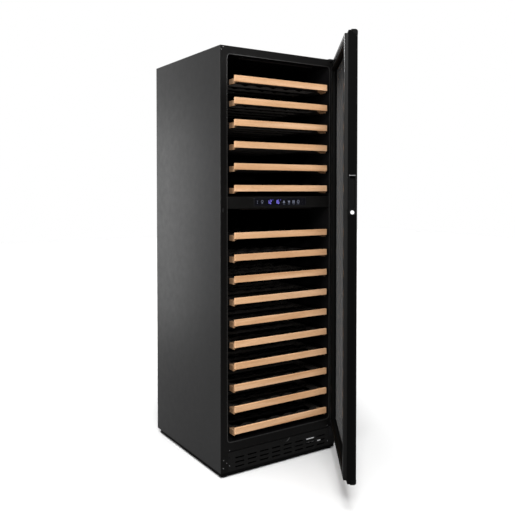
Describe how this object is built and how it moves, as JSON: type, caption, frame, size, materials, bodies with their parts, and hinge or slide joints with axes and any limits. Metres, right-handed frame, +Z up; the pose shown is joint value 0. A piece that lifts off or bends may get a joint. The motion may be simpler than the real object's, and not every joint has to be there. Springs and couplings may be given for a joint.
{
  "type": "wine cooler",
  "caption": "Tall free-standing wine cooler with two zones: glass door on the right, pull-out beech shelves, control strip between the zones, slotted kick plate and levelling feet.",
  "frame": {"origin": "on the floor under the centre of the cabinet's footprint, without the door", "axes": "+Z up, the door faces -Y and is hinged on the +X side, +Y is the rear"},
  "size_m": [0.6039, 1.1402, 1.763],
  "materials": {
    "case_paint": "satin",
    "black_steel": "matte",
    "frame_paint": "satin",
    "black_plastic": "matte",
    "foam": "matte",
    "display_glass": "gloss",
    "circuit_board": "gloss",
    "bright_steel": "satin",
    "runner_steel": "satin",
    "fin_aluminium": "satin",
    "spacer_aluminium": "matte",
    "led_lens": "satin",
    "compressor_paint": "gloss",
    "mount_rubber": "matte",
    "gasket_rubber": "matte",
    "moulded_black": "satin",
    "door_paint": "satin",
    "door_grey": "satin",
    "tinted_glass": "gloss",
    "grip_plastic": "satin",
    "nylon": "satin",
    "beech": "satin"
  },
  "bodies": {
    "cabinet": {"side_panel_left": "case_paint", "side_panel_right": "case_paint", "top_panel": "case_paint", "rear_panel": "black_steel", "rear_grille": "black_steel", "base_tray": "black_steel", "front_frame": "frame_paint", "inner_liner": "black_plastic", "insulation": "foam", "zone_divider": "black_plastic", "display_glass": "display_glass", "control_board": "circuit_board", "kick_plate": "frame_paint", "hinge_brackets": "frame_paint", "hinge_pins": "bright_steel", "bracket_screws": "bright_steel", "blanking_plugs": "bright_steel", "shelf_runners": "runner_steel", "duct_covers": "black_plastic", "evaporators": "fin_aluminium", "led_bars": "led_lens", "compressor": "compressor_paint", "compressor_mounts": "mount_rubber", "drip_tray": "black_plastic", "condenser": "black_steel", "fan_shroud": "black_plastic", "mains_inlet": "black_plastic"},
    "door": {"door_frame": "door_paint", "door_end_caps": "door_paint", "door_liner": "door_grey", "door_gasket": "gasket_rubber", "glass_panes": "tinted_glass", "spacer_bars": "spacer_aluminium", "handle_cup": "grip_plastic", "hinge_bushes": "nylon"},
    "lock": {"lock_barrel": "bright_steel"},
    "shelf_01": {"shelf_01": "beech"},
    "shelf_02": {"shelf_02": "beech"},
    "shelf_03": {"shelf_03": "beech"},
    "shelf_04": {"shelf_04": "beech"},
    "shelf_05": {"shelf_05": "beech"},
    "shelf_06": {"shelf_06": "beech"},
    "shelf_07": {"shelf_07": "beech"},
    "shelf_08": {"shelf_08": "beech"},
    "shelf_09": {"shelf_09": "beech"},
    "shelf_10": {"shelf_10": "beech"},
    "shelf_11": {"shelf_11": "beech"},
    "shelf_12": {"shelf_12": "beech"},
    "shelf_13": {"shelf_13": "beech"},
    "shelf_14": {"shelf_14": "beech"},
    "shelf_15": {"shelf_15": "beech"},
    "shelf_16": {"shelf_16": "beech"},
    "condenser_rotor": {"condenser_fan": "moulded_black"},
    "upper_rotor": {"zone_fan_upper": "moulded_black"},
    "lower_rotor": {"zone_fan_lower": "moulded_black"},
    "foot_front_left_body": {"foot_front_left": "moulded_black"},
    "foot_rear_left_body": {"foot_rear_left": "moulded_black"},
    "foot_front_right_body": {"foot_front_right": "moulded_black"},
    "foot_rear_right_body": {"foot_rear_right": "moulded_black"}
  },
  "joints": [
    {"name": "door_hinge", "type": "hinge", "parent": "cabinet", "child": "door", "pos_m": [0.2859, -0.3409, 0.9], "axis": [0, 0, 1], "range_deg": [-55.3, 54.7]},
    {"name": "lock_turn", "type": "hinge", "parent": "door", "child": "lock", "pos_m": [-0.04696, -0.82003, 1.096], "axis": [0.5693, 0.8221, 0], "range_deg": [0, 90]},
    {"name": "shelf_01_slide", "type": "slide", "parent": "cabinet", "child": "shelf_01", "axis": [0, -1, 0], "range_m": [0, 0.06]},
    {"name": "shelf_02_slide", "type": "slide", "parent": "cabinet", "child": "shelf_02", "axis": [0, -1, 0], "range_m": [0, 0.06]},
    {"name": "shelf_03_slide", "type": "slide", "parent": "cabinet", "child": "shelf_03", "axis": [0, -1, 0], "range_m": [0, 0.06]},
    {"name": "shelf_04_slide", "type": "slide", "parent": "cabinet", "child": "shelf_04", "axis": [0, -1, 0], "range_m": [0, 0.06]},
    {"name": "shelf_05_slide", "type": "slide", "parent": "cabinet", "child": "shelf_05", "axis": [0, -1, 0], "range_m": [0, 0.06]},
    {"name": "shelf_06_slide", "type": "slide", "parent": "cabinet", "child": "shelf_06", "axis": [0, -1, 0], "range_m": [0, 0.06]},
    {"name": "shelf_07_slide", "type": "slide", "parent": "cabinet", "child": "shelf_07", "axis": [0, -1, 0], "range_m": [0, 0.06]},
    {"name": "shelf_08_slide", "type": "slide", "parent": "cabinet", "child": "shelf_08", "axis": [0, -1, 0], "range_m": [0, 0.06]},
    {"name": "shelf_09_slide", "type": "slide", "parent": "cabinet", "child": "shelf_09", "axis": [0, -1, 0], "range_m": [0, 0.06]},
    {"name": "shelf_10_slide", "type": "slide", "parent": "cabinet", "child": "shelf_10", "axis": [0, -1, 0], "range_m": [0, 0.06]},
    {"name": "shelf_11_slide", "type": "slide", "parent": "cabinet", "child": "shelf_11", "axis": [0, -1, 0], "range_m": [0, 0.06]},
    {"name": "shelf_12_slide", "type": "slide", "parent": "cabinet", "child": "shelf_12", "axis": [0, -1, 0], "range_m": [0, 0.06]},
    {"name": "shelf_13_slide", "type": "slide", "parent": "cabinet", "child": "shelf_13", "axis": [0, -1, 0], "range_m": [0, 0.06]},
    {"name": "shelf_14_slide", "type": "slide", "parent": "cabinet", "child": "shelf_14", "axis": [0, -1, 0], "range_m": [0, 0.06]},
    {"name": "shelf_15_slide", "type": "slide", "parent": "cabinet", "child": "shelf_15", "axis": [0, -1, 0], "range_m": [0, 0.06]},
    {"name": "shelf_16_slide", "type": "slide", "parent": "cabinet", "child": "shelf_16", "axis": [0, -1, 0], "range_m": [0, 0.06]},
    {"name": "condenser_fan_spin", "type": "hinge", "parent": "cabinet", "child": "condenser_rotor", "pos_m": [0.135, 0.167, 0.112], "axis": [0, 1, 0], "continuous": true},
    {"name": "zone_fan_upper_spin", "type": "hinge", "parent": "cabinet", "child": "upper_rotor", "pos_m": [0, 0.219, 1.25], "axis": [0, 1, 0], "continuous": true},
    {"name": "zone_fan_lower_spin", "type": "hinge", "parent": "cabinet", "child": "lower_rotor", "pos_m": [0, 0.219, 0.42], "axis": [0, 1, 0], "continuous": true},
    {"name": "foot_front_left_turn", "type": "hinge", "parent": "cabinet", "child": "foot_front_left_body", "pos_m": [-0.275, -0.288, 0], "axis": [0, 0, 1], "continuous": true},
    {"name": "foot_rear_left_turn", "type": "hinge", "parent": "cabinet", "child": "foot_rear_left_body", "pos_m": [-0.275, 0.288, 0], "axis": [0, 0, 1], "continuous": true},
    {"name": "foot_front_right_turn", "type": "hinge", "parent": "cabinet", "child": "foot_front_right_body", "pos_m": [0.275, -0.288, 0], "axis": [0, 0, 1], "continuous": true},
    {"name": "foot_rear_right_turn", "type": "hinge", "parent": "cabinet", "child": "foot_rear_right_body", "pos_m": [0.275, 0.288, 0], "axis": [0, 0, 1], "continuous": true}
  ]
}
